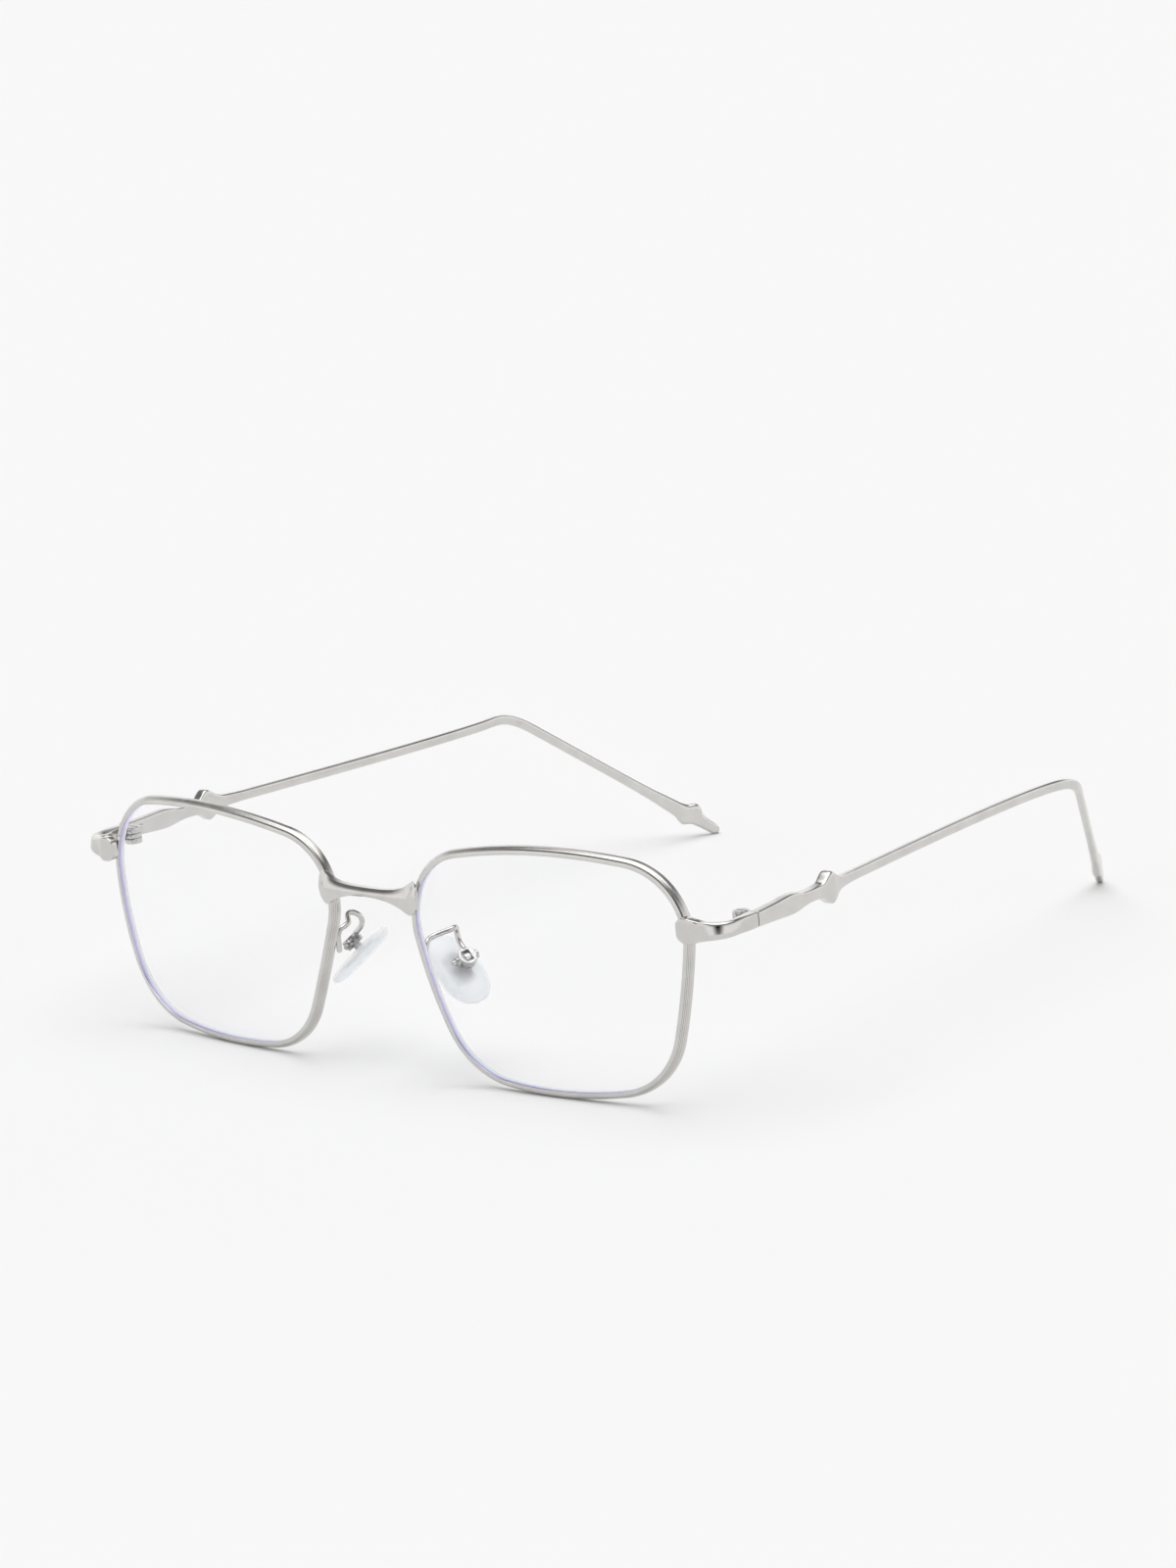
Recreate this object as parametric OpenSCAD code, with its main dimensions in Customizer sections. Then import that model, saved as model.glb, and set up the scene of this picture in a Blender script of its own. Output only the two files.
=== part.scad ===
// Full-rim metal eyeglasses, standing open on the eyewires and the temple tips.
// Millimetres. +Z is up, the wearer looks along -Y, and +X is the wearer's left.
// The origin is on the ground, under the middle of the standing frame.

/* [Eyewires] */
// Distance between the two lens centres
lens_spacing = 70; // [68:0.5:72]
// Radial width of the eyewire, seen from the front
rim_width = 1.3; // [1.2:0.05:1.5]
// Depth of the eyewire, from front to back
rim_depth = 1.4; // [1.3:0.05:1.6]
// Radius of the sphere that the front faces lie on
base_radius = 132.5; // [110:0.5:180]
// Angle by which each eyewire wraps back around the face
wrap_angle = 4.5; // [3:0.5:6]

/* [Lenses] */
// Thickness of a lens
lens_thickness = 1.1; // [1:0.05:1.2]
// Depth of the lens groove in the eyewire, and of the rib that fills it
groove_depth = 0.5; // [0.3:0.05:0.6]
// Width of the lens groove
groove_width = 0.6; // [0.4:0.05:0.8]

/* [Nose pads] */
// Radius of the round wire of a pad arm
arm_radius = 0.45; // [0.4:0.05:0.55]
// Thickness of a nose pad at its middle
pad_thickness = 2.3; // [2.1:0.1:2.5]
// Slant of the pad's long axis below the horizontal
pad_slant = 42; // [38:1:46]
// Turn of the pad's long axis towards the front
pad_splay = 11; // [8:1:14]
// Tilt of the pad about its long axis
pad_roll = 10; // [6:1:14]

/* [Hinges] */
// Outer radius of the hinge knuckles
knuckle_radius = 1.45; // [1.3:0.05:1.5]
// Radius of the hinge screw's shank
hinge_screw_radius = 0.55; // [0.5:0.05:0.6]
// Running clearance of a screw in the part that turns on it
running_clearance = 0.05; // [0.03:0.01:0.08]

/* [Temples] */
// Half height of the temple rod
rod_half_height = 0.87; // [0.8:0.01:0.95]
// Half thickness of the temple rod
rod_half_thickness = 0.65; // [0.6:0.01:0.75]
// Distance from the corner of the ear bend to where its curve starts and ends
bend_reach = 5; // [4:0.5:7]

/* [Hidden] */

$fn = 48;
left = 1;
right = -1;
// Everything is drawn with the back of the eyewires near y = 0, then moved back by this much
standing_middle = 68.18;
// Height of the lens centres above the ground
lens_centre_z = 20.39;
sphere_fn = 200;

// Eyewire outline: corner circles as [across, up, radius], anticlockwise from the upper outer one,
// and the radii of the top, nasal, bottom and temporal sides between them
eye_corners = [[14.6, 7, 12.7], [-14.6, 6.3, 12.2], [-8, -5.7, 14.3], [10.6, -5.1, 14.4]];
eye_sides = [97, 104, 84, 82];
corner_steps = 9;
side_steps = 6;
// The eyewire is cut here, behind the endpiece, so that it opens for its lens
slit_height = 8.725;
slit_gap = 0.15;

// Nose pad outline in its own plane: long axis first, the narrow end up
pad_corners = [[3.15, 0, 3.6], [-3.75, 0, 3]];
pad_sides = [14, 14];
pad_centre = [10.5, 6.95, 16.3];
pad_pivot = [-0.1, 1.1, 2.55];
pad_crown = 45;

hinge_axis = [65.5, 12.3, 29.5];
// Heights of the knuckle ends, from the bottom one to the top one
knuckle_edges = [-1.35, -0.45, 0.45, 1.35];
knuckle_gap = 0.06;
hinge_head_radius = 1.05;
hinge_head_height = 0.35;
// A leaf's plate stands this far outside the hinge axis
leaf_offset = 1;
leaf_thickness = 0.67;
leaf_half_height = 0.8;
// Distances from the hinge axis: start of a knuckle's own web, start of the full plate, and its end
web_start = 0.2;
plate_start = 1.65;
plate_end = 3.8;
// Endpiece and temple part here
split_y = 12.2;
split_gap = 0.12;
driver_slot = 0.24;

// ---------- outlines ----------
function direction(v) = atan2(v[1], v[0]);
function after(a, b) = b < a ? b + 360 : b;
function on_circle(c, r, a) = [c[0] + r * cos(a), c[1] + r * sin(a)];
// Centre of the big arc that touches two corner circles from inside, on the left of c1 to c2
function side_centre(c1, c2, big) =
    let (d = [c2[0] - c1[0], c2[1] - c1[1]], span = norm(d))
    let (p = big - c1[2], q = big - c2[2])
    let (along = (p * p - q * q + span * span) / (2 * span))
    let (across = sqrt(p * p - along * along))
    [c1[0] + (d[0] * along - d[1] * across) / span, c1[1] + (d[1] * along + d[0] * across) / span];
// Smooth closed outline of corner arcs and side arcs, moved inwards by inset
function outline(corners, sides, inset = 0) =
    let (n = len(corners))
    let (mid = [for (i = [0 : n - 1]) side_centre(corners[i], corners[(i + 1) % n], sides[i])])
    [for (i = [0 : n - 1])
        let (c = corners[i], before = mid[(i + n - 1) % n], next = mid[i], c2 = corners[(i + 1) % n])
        let (a0 = direction([c[0], c[1]] - before))
        let (a1 = after(a0, direction([c[0], c[1]] - next)))
        let (a2 = after(a1, direction([c2[0], c2[1]] - next)))
        each concat(
            [for (k = [0 : corner_steps])
                on_circle(c, c[2] - inset, a0 + (a1 - a0) * k / corner_steps)],
            [for (k = [1 : side_steps - 1])
                on_circle(next, sides[i] - inset, a1 + (a2 - a1) * k / side_steps)])];

// ---------- lofted bodies ----------
function unit(v) = v / norm(v);
function mix(a, b, t) = a * (1 - t) + b * t;
function bow(a, b, c, t) = mix(mix(a, b, t), mix(b, c, t), t);
function rounded(v, power) = sign(v) * pow(abs(v), 2 / power);
// One ring of a loft. reach is [outwards, inwards, up, down], power 2 is an ellipse
function ring(centre, side, up, reach, power, sides) =
    [for (k = [0 : sides - 1])
        let (a = 360 * k / sides)
        centre + side * rounded(cos(a), power) * (cos(a) > 0 ? reach[0] : reach[1])
            + up * rounded(sin(a), power) * (sin(a) > 0 ? reach[2] : reach[3])];
module loft(rings) {
    m = len(rings[0]);
    n = len(rings);
    walls = [for (i = [0 : n - 2]) for (k = [0 : m - 1])
        let (a = i * m + k, b = i * m + (k + 1) % m)
        each [[a, b, b + m], [a, b + m, a + m]]];
    first = [for (k = [m - 1 : -1 : 0]) k];
    last = [for (k = [0 : m - 1]) (n - 1) * m + k];
    polyhedron([for (r = rings) each r], concat([first], walls, [last]));
}

// ---------- placing ----------
module on_side(s) {
    translate([0, -standing_middle, 0]) mirror([s < 0 ? 1 : 0, 0, 0]) children();
}
module at_eye() {
    translate([lens_spacing / 2, -1.32, lens_centre_z]) rotate([0, 0, wrap_angle]) children();
}
module at_pad() {
    translate(pad_centre) rotate([pad_roll, pad_slant, -pad_splay]) children();
}
module at_hinge() {
    translate(hinge_axis) children();
}
// Curved slice of the eyewire's or lens's depth, from front to back
module shell(front, back) {
    translate([0, base_radius, 0]) difference() {
        sphere(base_radius - front, $fn = sphere_fn);
        sphere(base_radius - back, $fn = sphere_fn);
    }
}
// Outline of the eyewire as a prism through its whole depth
module eye_prism(inset) {
    translate([0, 10, 0]) rotate([90, 0, 0])
        linear_extrude(20) polygon(outline(eye_corners, eye_sides, inset));
}

// ---------- eyewires and lenses ----------
module rim(s) {
    groove_front = (rim_depth - groove_width) / 2;
    color("silver") on_side(s) at_eye() difference() {
        intersection() {
            eye_prism(0);
            shell(0, rim_depth);
        }
        eye_prism(rim_width);
        intersection() {
            eye_prism(rim_width - groove_depth);
            shell(groove_front, groove_front + groove_width);
        }
        translate([24, -5, slit_height - slit_gap / 2]) cube([6, 20, slit_gap]);
    }
}
module lens(s) {
    groove_front = (rim_depth - groove_width) / 2;
    lens_front = (rim_depth - lens_thickness) / 2;
    color("aliceblue", 0.35) on_side(s) at_eye() union() {
        intersection() {
            eye_prism(rim_width);
            shell(lens_front, lens_front + lens_thickness);
        }
        intersection() {
            eye_prism(rim_width - groove_depth);
            shell(groove_front, groove_front + groove_width);
        }
    }
}

// ---------- bridge ----------
// Half of the bridge, from its middle to its flared end: [x, lower z, upper z, front y, back y]
bridge_half = [
    [0, 29.5, 30.95, -2.1, -0.5], [3, 29.35, 31, -2.1, -0.5], [5.6, 28.8, 31.2, -2.05, -0.5],
    [7.4, 28.1, 31.6, -1.95, -0.35], [8.1, 27.7, 31.9, -1.95, -0.1], [8.8, 27.35, 32.3, -1.95, -0.12],
    [9.1, 27.35, 32.55, -1.85, -0.45], [9.4, 27.5, 32.75, -1.8, -0.66], [9.75, 27.75, 32.85, -1.72, -0.74],
    [10.1, 28.2, 32.75, -1.62, -0.78], [10.4, 28.95, 32.35, -1.45, -0.8], [10.6, 29.7, 31.6, -1.2, -0.82]
];
function bridge_ring(row, s) =
    let (half_y = (row[4] - row[3]) / 2, half_z = (row[2] - row[1]) / 2)
    ring([s * row[0], (row[3] + row[4]) / 2, (row[1] + row[2]) / 2],
        [0, -1, 0], [0, 0, 1], [half_y, half_y, half_z, half_z], 3, 12);
module bridge() {
    last = len(bridge_half) - 1;
    color("gainsboro") on_side(left) loft(concat(
        [for (i = [last : -1 : 1]) bridge_ring(bridge_half[i], -1)],
        [for (i = [0 : last]) bridge_ring(bridge_half[i], 1)]));
}

// ---------- endpieces and rim locks ----------
// Endpiece from its paddle on the eyewire to the hinge: [x, y, z, half thickness, half height]
end_bend = [64.4, 7.5];
end_bend_radius = 3.6;
end_rows = [
    [60.45, 2.8, 29.85, 0.5, 1.2], [60.6, 2.82, 29.85, 0.62, 1.6], [60.95, 2.98, 29.84, 0.82, 1.88],
    [61.6, 3.04, 29.8, 0.88, 2.1], [62.6, 3.05, 29.74, 0.9, 2.08], [63.6, 3.3, 29.7, 0.85, 1.86],
    [64.5, 3.75, 29.7, 0.83, 1.58]
];
// Its bend, after the paddle: [angle turned, half thickness, half height]
end_turn = [[25, 0.88, 1.4], [45, 0.92, 1.32], [65, 0.92, 1.28], [90, 0.9, 1.25]];
function end_ring(centre, turn, thick, high) =
    ring(centre, [sin(turn), -cos(turn), 0], [0, 0, 1], [thick, thick, high, high], 3, 12);
module endpiece(s) {
    paddle = [for (row = end_rows) end_ring([row[0], row[1], row[2]], 0, row[3], row[4])];
    bend = [for (row = end_turn)
        let (a = row[0])
        end_ring([end_bend[0] + end_bend_radius * sin(a), end_bend[1] - end_bend_radius * cos(a),
            mix(29.7, 29.8, a / 90)], a, row[1], row[2])];
    back = end_ring([end_bend[0] + end_bend_radius, split_y, 29.8], 90, 0.9, 1.22);
    color("gainsboro") on_side(s) loft(concat(paddle, bend, [back]));
}
// The two blocks that close the eyewire behind the endpiece, and the screw through them
lock_middle = [62.65, 4.7, lens_centre_z + slit_height];
lock_gap = 0.1;
lock_block = [2.15, 1.5, 1.1];
lock_screw_radius = 0.45;
lock_screw_length = 2.3;
lock_head_radius = 0.72;
lock_head_height = 0.3;
module at_lock(s) {
    on_side(s) translate(lock_middle) children();
}
module lock_half() {
    difference() {
        translate([-lock_block[0] / 2, -lock_block[1] / 2, lock_gap / 2]) cube(lock_block);
        cylinder(r = lock_screw_radius, h = 2 * lock_block[2] + 1, center = true);
    }
}
module rim_lock_upper(s) {
    color("silver") at_lock(s) lock_half();
}
module rim_lock_lower(s) {
    color("silver") at_lock(s) mirror([0, 0, 1]) lock_half();
}
module rim_lock_screw(s) {
    seat = -lock_gap / 2 - lock_block[2];
    color("lightgray") at_lock(s) difference() {
        union() {
            translate([0, 0, seat]) cylinder(r = lock_screw_radius, h = lock_screw_length);
            translate([0, 0, seat - lock_head_height])
                cylinder(r = lock_head_radius, h = lock_head_height);
        }
        translate([-1, -driver_slot / 2, seat - 0.5]) cube([2, driver_slot, 0.35]);
    }
}

// ---------- hinges ----------
module knuckle(low, high, bore) {
    translate([0, 0, low]) difference() {
        cylinder(r = knuckle_radius, h = high - low);
        translate([0, 0, -1]) cylinder(r = bore, h = high - low + 2);
    }
}
// Part of a leaf's plate, between two distances behind the hinge axis and between two heights
module leaf_plate(near, far, low, high) {
    translate([leaf_offset, near, low]) cube([leaf_thickness, far - near, high - low]);
}
module hinge_front_leaf(s) {
    e = knuckle_edges;
    color("silver") on_side(s) at_hinge() difference() {
        union() {
            knuckle(e[0], e[1], hinge_screw_radius);
            knuckle(e[2], e[3], hinge_screw_radius);
            leaf_plate(-plate_end, -plate_start, -leaf_half_height, leaf_half_height);
            leaf_plate(-plate_start, -web_start, -leaf_half_height, e[1]);
            leaf_plate(-plate_start, -web_start, e[2], leaf_half_height);
        }
        cylinder(r = hinge_screw_radius, h = 10, center = true);
        translate([0, 0, e[3] - hinge_head_height]) cylinder(r = hinge_head_radius, h = 1);
    }
}
module hinge_temple_leaf(s) {
    low = knuckle_edges[1] + knuckle_gap;
    high = knuckle_edges[2] - knuckle_gap;
    bore = hinge_screw_radius + running_clearance;
    color("silver") on_side(s) at_hinge() difference() {
        union() {
            knuckle(low, high, bore);
            leaf_plate(plate_start, plate_end, -leaf_half_height, leaf_half_height);
            leaf_plate(web_start, plate_start, low, high);
        }
        cylinder(r = bore, h = 10, center = true);
    }
}
// Slotted screw whose head sits in the top knuckle
module hinge_screw(s) {
    e = knuckle_edges;
    color("lightgray") on_side(s) at_hinge() difference() {
        union() {
            translate([0, 0, e[0]]) cylinder(r = hinge_screw_radius, h = e[3] - e[0]);
            translate([0, 0, e[3] - hinge_head_height])
                cylinder(r = hinge_head_radius, h = hinge_head_height + 0.1);
        }
        translate([-2, -driver_slot / 2, e[3] - 0.1]) cube([4, driver_slot, 1]);
    }
}

// ---------- nose pads ----------
// Centre line of the left pad arm, from its foot on the eyewire to its pad box
arm_points = [
    [9.4, 0.9, 18.5], [9.4, 0.9, 19.9], [9.45, 1, 21.3], [9.35, 1.5, 22.2], [9.15, 2.4, 22.55],
    [9.3, 3.4, 22.75], [9.9, 4.15, 23], [10.8, 5, 23.35], [11.25, 5.8, 23.55], [11.1, 6.65, 23.5],
    [10.6, 7.35, 23], [10.3, 7.7, 22.2], [10.4, 7.75, 21.3], [11, 7.6, 20.4], [11.9, 7.4, 19.6]
];
arm_sides = 8;
function arm_tangent(i) =
    unit(arm_points[min(i + 1, len(arm_points) - 1)] - arm_points[max(i - 1, 0)]);
function arm_ring(i) =
    let (t = arm_tangent(i), side = unit(cross([0, 1, 0.3], t)), up = cross(side, t))
    ring(arm_points[i], side, up, [1, 1, 1, 1] * arm_radius, 2, arm_sides);
module pad_arm(s) {
    color("silver") on_side(s) loft([for (i = [0 : len(arm_points) - 1]) arm_ring(i)]);
}
pad_box_radius = 1.6;
pad_box_half = 0.85;
pad_boss_radius = 0.75;
pad_boss_length = 2.1;
pad_screw_radius = 0.4;
// Sides of the box's slot, measured from the tongue's, and its half length
tongue_play = 0.1;
slot_half = 0.95;
tongue_half = 0.5;
plate_length = 7;
plate_width = 3.6;
plate_thickness = 0.5;
// Height of the plate's lower face above the middle of the pad
plate_lift = 0.1;
// The pad rocks a little on this point, about the screw along its own -Y
module at_pivot(s) {
    on_side(s) at_pad() translate(pad_pivot) children();
}
module along_screw() {
    rotate([90, 0, 0]) children();
}
module pad_box(s) {
    slot = 2 * (tongue_half + tongue_play);
    color("silver") at_pivot(s) difference() {
        union() {
            translate([0, 0, -pad_box_half]) cylinder(r = pad_box_radius, h = 2 * pad_box_half);
            along_screw() cylinder(r = pad_boss_radius, h = pad_boss_length);
        }
        translate([-slot_half, -slot / 2, -pad_box_half - 1])
            cube([2 * slot_half, slot, 2 * pad_box_half + 2]);
        along_screw() cylinder(r = pad_screw_radius, h = 8, center = true);
    }
}
module pad_screw(s) {
    color("lightgray") at_pivot(s) along_screw() difference() {
        union() {
            translate([0, 0, -1.5]) cylinder(r = pad_screw_radius, h = 4.3);
            translate([0, 0, -1.95]) cylinder(r = pad_boss_radius, h = 0.47);
        }
        translate([-1, -driver_slot / 2, -2.2]) cube([2, driver_slot, 0.45]);
    }
}
// Plate and tongue of the core, which the pad is moulded round
module core_plate() {
    translate([0, 0, plate_lift]) linear_extrude(plate_thickness) intersection() {
        square([plate_length, plate_width], center = true);
        circle(plate_length / 2 - 0.4);
    }
}
module core_tongue() {
    translate([pad_pivot[0] - tongue_half, pad_pivot[1] - tongue_half, plate_thickness])
        cube([2 * tongue_half, 2 * tongue_half, pad_pivot[2] - plate_thickness]);
}
module pad_core(s) {
    color("whitesmoke") on_side(s) at_pad() difference() {
        union() {
            core_plate();
            core_tongue();
            translate(pad_pivot) along_screw()
                cylinder(r = pad_boss_radius, h = 2 * tongue_half, center = true);
        }
        translate(pad_pivot) along_screw()
            cylinder(r = pad_screw_radius + running_clearance, h = 4, center = true);
    }
}
module nose_pad(s) {
    half = pad_thickness / 2;
    color("lightcyan", 0.5) on_side(s) at_pad() difference() {
        intersection() {
            translate([0, 0, -half]) linear_extrude(pad_thickness)
                polygon(outline(pad_corners, pad_sides));
            translate([0, 0, pad_crown - half]) sphere(pad_crown, $fn = sphere_fn);
            translate([0, 0, half - pad_crown]) sphere(pad_crown, $fn = sphere_fn);
        }
        core_plate();
        core_tongue();
    }
}

// ---------- temples ----------
split_point = [68, split_y + split_gap, 29.8];
knot_point = [67, 31.7, 29.65];
rod_bow = [59.9, 90, 28.5];
bend_corner = [62.4, 105.7, 28.2];
tip_point = [42.5, 138.2, 0.34];
bend_in = bend_corner + bend_reach * unit(rod_bow - bend_corner);
bend_out = bend_corner + bend_reach * unit(tip_point - bend_corner);
knot_d = norm(knot_point - split_point);
bend_in_d = knot_d + norm(bend_in - knot_point);
bend_out_d = bend_in_d + 1.9 * bend_reach;
temple_length = bend_out_d + norm(tip_point - bend_out);
// Centre line of the left temple at a distance from its split
function temple_at(d) =
    d < knot_d ? mix(split_point, knot_point, d / knot_d)
    : d < bend_in_d ? bow(knot_point, rod_bow, bend_in, (d - knot_d) / (bend_in_d - knot_d))
    : d < bend_out_d ? bow(bend_in, bend_corner, bend_out, (d - bend_in_d) / (bend_out_d - bend_in_d))
    : mix(bend_out, tip_point, (d - bend_out_d) / (temple_length - bend_out_d));
// Profile of the temple: [distance from the split, up, down, outwards, inwards]
front_profile = [
    [0, 1.22, 1.22, 0.98, 0.85], [5, 1.42, 1.45, 1, 0.85], [9.2, 1.65, 1.65, 1, 0.85],
    [10.2, 1.55, 1.6, 1, 0.85], [12.4, 1.1, 1.25, 0.95, 0.85], [14.6, 1, 1.05, 0.95, 0.85],
    [16.6, 1.12, 1.12, 1.05, 0.85], [17.6, 1.3, 1.35, 1.25, 0.85], [18.3, 1.9, 1.75, 1.4, 0.85],
    [19.1, 2.6, 2.3, 1.5, 0.85], [19.7, 2.65, 2.65, 1.5, 0.85], [20.5, 2.3, 2.4, 1.35, 0.8],
    [21.6, 1.6, 1.6, 1.1, 0.75], [23, 1.1, 1.15, 0.9, 0.7], [25, 0.95, 0.98, 0.75, 0.65]
];
// The same at the tail, as distances back from the tip
tail_profile = [
    [24, 0.87, 0.87, 0.65, 0.65], [16, 0.95, 1, 0.68, 0.68], [12, 1.15, 1.25, 0.72, 0.72],
    [9.2, 1.3, 1.45, 0.78, 0.78], [7.9, 1.6, 1.9, 0.82, 0.82], [7.1, 2.2, 2.1, 0.85, 0.85],
    [6.3, 2.5, 1.7, 0.85, 0.85], [5.6, 2.3, 1.3, 0.85, 0.85], [4.6, 1.5, 1.1, 0.82, 0.82],
    [3.2, 1.15, 1, 0.8, 0.8], [1, 1, 0.9, 0.7, 0.7], [0.4, 0.8, 0.7, 0.55, 0.55],
    [0, 0.4, 0.35, 0.3, 0.3]
];
rod_reach = [rod_half_height, rod_half_height, rod_half_thickness, rod_half_thickness];
rod_step = 3.4;
function temple_ring(d, reach) =
    let (t = unit(temple_at(d + 0.1) - temple_at(d - 0.1)))
    let (side = unit(cross(t, [0, 0, 1])), up = cross(side, t))
    ring(temple_at(d), side, up, [reach[2], reach[3], reach[0], reach[1]], 2.4, 12);
module temple(s) {
    rod_start = 27;
    rod_end = temple_length - 27;
    steps = round((rod_end - rod_start) / rod_step);
    front = [for (row = front_profile) temple_ring(row[0], [row[1], row[2], row[3], row[4]])];
    rod = [for (k = [0 : steps]) temple_ring(mix(rod_start, rod_end, k / steps), rod_reach)];
    tail = [for (row = tail_profile)
        temple_ring(temple_length - row[0], [row[1], row[2], row[3], row[4]])];
    color("silver") on_side(s) loft(concat(front, rod, tail));
}

module rim_left() { rim(left); }
module rim_right() { rim(right); }
module lens_left() { lens(left); }
module lens_right() { lens(right); }
module endpiece_left() { endpiece(left); }
module endpiece_right() { endpiece(right); }
module rim_lock_upper_left() { rim_lock_upper(left); }
module rim_lock_upper_right() { rim_lock_upper(right); }
module rim_lock_lower_left() { rim_lock_lower(left); }
module rim_lock_lower_right() { rim_lock_lower(right); }
module rim_lock_screw_left() { rim_lock_screw(left); }
module rim_lock_screw_right() { rim_lock_screw(right); }
module hinge_front_leaf_left() { hinge_front_leaf(left); }
module hinge_front_leaf_right() { hinge_front_leaf(right); }
module hinge_temple_leaf_left() { hinge_temple_leaf(left); }
module hinge_temple_leaf_right() { hinge_temple_leaf(right); }
module hinge_screw_left() { hinge_screw(left); }
module hinge_screw_right() { hinge_screw(right); }
module pad_arm_left() { pad_arm(left); }
module pad_arm_right() { pad_arm(right); }
module pad_box_left() { pad_box(left); }
module pad_box_right() { pad_box(right); }
module pad_screw_left() { pad_screw(left); }
module pad_screw_right() { pad_screw(right); }
module pad_core_left() { pad_core(left); }
module pad_core_right() { pad_core(right); }
module nose_pad_left() { nose_pad(left); }
module nose_pad_right() { nose_pad(right); }
module temple_left() { temple(left); }
module temple_right() { temple(right); }

rim_left();
rim_right();
lens_left();
lens_right();
bridge();
endpiece_left();
endpiece_right();
rim_lock_upper_left();
rim_lock_upper_right();
rim_lock_lower_left();
rim_lock_lower_right();
rim_lock_screw_left();
rim_lock_screw_right();
hinge_front_leaf_left();
hinge_front_leaf_right();
hinge_temple_leaf_left();
hinge_temple_leaf_right();
hinge_screw_left();
hinge_screw_right();
pad_arm_left();
pad_arm_right();
pad_box_left();
pad_box_right();
pad_screw_left();
pad_screw_right();
pad_core_left();
pad_core_right();
nose_pad_left();
nose_pad_right();
temple_left();
temple_right();
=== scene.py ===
"""Looks of the full-rim metal eyeglasses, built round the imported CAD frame.

Lengths in the code are millimetres in the frame's own axes, and become metres where a mesh is made.
"""
import math

import bpy
import numpy as np
from mathutils import Matrix, Vector


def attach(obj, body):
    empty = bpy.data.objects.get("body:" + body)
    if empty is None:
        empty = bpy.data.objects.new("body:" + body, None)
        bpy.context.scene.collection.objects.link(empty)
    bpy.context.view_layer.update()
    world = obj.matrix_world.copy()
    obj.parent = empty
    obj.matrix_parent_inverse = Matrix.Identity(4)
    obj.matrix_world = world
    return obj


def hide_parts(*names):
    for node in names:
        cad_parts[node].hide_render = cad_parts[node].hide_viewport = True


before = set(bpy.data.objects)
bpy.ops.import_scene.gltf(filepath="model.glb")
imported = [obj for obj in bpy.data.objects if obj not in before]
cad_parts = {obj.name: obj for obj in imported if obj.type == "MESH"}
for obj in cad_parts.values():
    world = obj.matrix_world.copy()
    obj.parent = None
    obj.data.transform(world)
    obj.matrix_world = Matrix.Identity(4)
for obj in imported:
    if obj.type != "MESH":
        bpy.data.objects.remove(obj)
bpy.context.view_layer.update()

MM = 0.001

# ---------------------------------------------------------------- driving dimensions, millimetres
# Depths are measured back from the middle of the eyewires' fronts, which lie this far before the origin
FRONT_Y = -68.18
LENS_SPACING = 70
LENS_CENTRE_Z = 20.39
WRAP = math.radians(4.5)
WRAP_SHIFT = -1.32
BASE_RADIUS = 132.5
RIM_WIDTH = 1.3
RIM_DEPTH = 1.4
# Eyewire outline: corner circles (across, up, radius) anticlockwise from the upper outer one,
# and the radii of the top, nasal, bottom and temporal sides between them
EYE_CORNERS = [(14.6, 7, 12.7), (-14.6, 6.3, 12.2), (-8, -5.7, 14.3), (10.6, -5.1, 14.4)]
EYE_SIDES = [97, 104, 84, 82]
# Nose pad outline, in the pad's own axes with its length along the first
PAD_CORNERS = [(3.15, 0, 3.6), (-3.75, 0, 3)]
PAD_SIDES = [14, 14]
PAD_CENTRE = np.array([10.5, 6.95 + FRONT_Y, 16.3])
# Degrees about X, then Y, then Z
PAD_TURNS = (10, 42, -11)
PAD_THICKNESS = 2.3


# ---------------------------------------------------------------- curves and outlines
def unit(vector):
    return np.asarray(vector, float) / np.linalg.norm(vector)


def side_centre(first, second, big):
    """Centre of the big arc that both corner circles touch from inside."""
    a, b = np.array(first[:2], float), np.array(second[:2], float)
    d = b - a
    span = np.linalg.norm(d)
    p, q = big - first[2], big - second[2]
    along = (p * p - q * q + span * span) / (2 * span)
    across = math.sqrt(p * p - along * along)
    return a + (d * along + np.array([-d[1], d[0]]) * across) / span


def arc_outline(corners, sides, inset, step):
    """Closed outline of corner arcs and side arcs, moved inwards by inset.

    step is the spacing of the points before they are moved.
    """
    n = len(corners)
    mid = [side_centre(corners[i], corners[(i + 1) % n], sides[i]) for i in range(n)]
    points = []
    for i in range(n):
        corner, following = np.array(corners[i], float), np.array(corners[(i + 1) % n], float)
        before, after = mid[i - 1], mid[i]
        a0 = math.atan2(*(corner[:2] - before)[::-1])
        a1 = math.atan2(*(corner[:2] - after)[::-1])
        a2 = math.atan2(*(following[:2] - after)[::-1])
        a1 += 2 * math.pi * (a1 < a0)
        a2 += 2 * math.pi * (a2 < a1)
        arcs = ((corner[:2], corner[2], a0, a1), (after, sides[i], a1, a2))
        for centre, radius, start, end in arcs:
            count = max(2, round(radius * (end - start) / step))
            angles = start + (end - start) * np.arange(count) / count
            points.append(centre + (radius - inset) * np.stack([np.cos(angles), np.sin(angles)], -1))
    return np.concatenate(points)


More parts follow.
